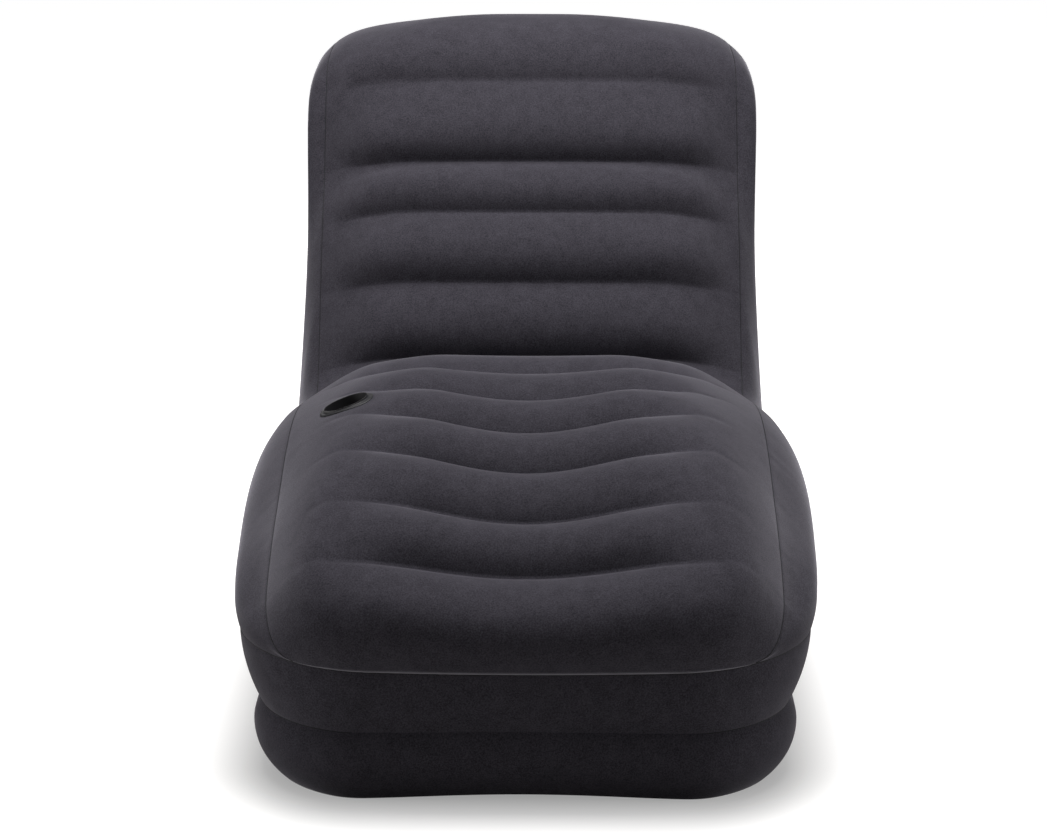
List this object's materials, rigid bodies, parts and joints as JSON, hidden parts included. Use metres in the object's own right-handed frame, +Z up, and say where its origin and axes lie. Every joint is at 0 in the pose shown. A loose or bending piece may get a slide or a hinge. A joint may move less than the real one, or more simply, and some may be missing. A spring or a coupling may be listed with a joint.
{
  "type": "inflatable lounge chair",
  "caption": "Wave-shaped inflatable lounge chair with a flocked, channelled lounging panel, raised leg rest, sloping backrest, cup holder and rear air valve.",
  "frame": {"origin": "middle of the floor face, on the floor", "axes": "+Z up, +Y from the foot end to the backrest, +X to the right of a person who faces the chair from its foot end"},
  "size_m": [0.8638, 1.7001, 0.9348],
  "materials": {
    "flocked_vinyl": "short dark charcoal flock on vinyl, matt with a soft sheen at the edges",
    "plain_vinyl": "black vinyl sheet, low sheen",
    "inner_film": "grey vinyl film of the inner webs, welded, low gloss",
    "moulded_vinyl": "black moulded soft vinyl, satin"
  },
  "bodies": {
    "root": {"lounging_panel": "flocked_vinyl", "rear_panel": "flocked_vinyl", "side_panel_right": "flocked_vinyl", "side_panel_left": "flocked_vinyl", "middle_band": "flocked_vinyl", "base_band": "flocked_vinyl", "floor_panel": "plain_vinyl", "cup_holder": "plain_vinyl", "waist_deck": "inner_film", "leg_web_1": "inner_film", "leg_web_2": "inner_film", "leg_web_3": "inner_film", "leg_web_4": "inner_film", "leg_web_5": "inner_film", "leg_web_6": "inner_film", "leg_web_7": "inner_film", "hip_web_1": "inner_film", "hip_web_2": "inner_film", "hip_web_3": "inner_film", "back_web_1": "inner_film", "back_web_2": "inner_film", "back_web_3": "inner_film", "back_web_4": "inner_film", "base_web_1": "inner_film", "base_web_2": "inner_film", "base_web_3": "inner_film", "base_web_4": "inner_film", "base_web_5": "inner_film", "valve_seat": "moulded_vinyl"},
    "plug": {"valve_plug": "moulded_vinyl"},
    "cap": {"inflation_cap": "moulded_vinyl"},
    "flap": {"check_flap": "moulded_vinyl"}
  },
  "joints": [
    {"name": "plug_hinge", "type": "hinge", "parent": "root", "child": "plug", "pos_m": [-0.19755, 0.84839, 0.28693], "axis": [0.1588, 0.0431, -0.9864], "range_deg": [0, 120]},
    {"name": "cap_hinge", "type": "hinge", "parent": "plug", "child": "cap", "pos_m": [-0.2358, 0.84388, 0.28058], "axis": [-0.1588, -0.0431, 0.9864], "range_deg": [0, 140]},
    {"name": "flap_hinge", "type": "hinge", "parent": "plug", "child": "flap", "pos_m": [-0.21133, 0.83257, 0.28402], "axis": [-0.1588, -0.0431, 0.9864], "range_deg": [0, 60], "stiffness_Nm_per_rad": 0.002}
  ]
}
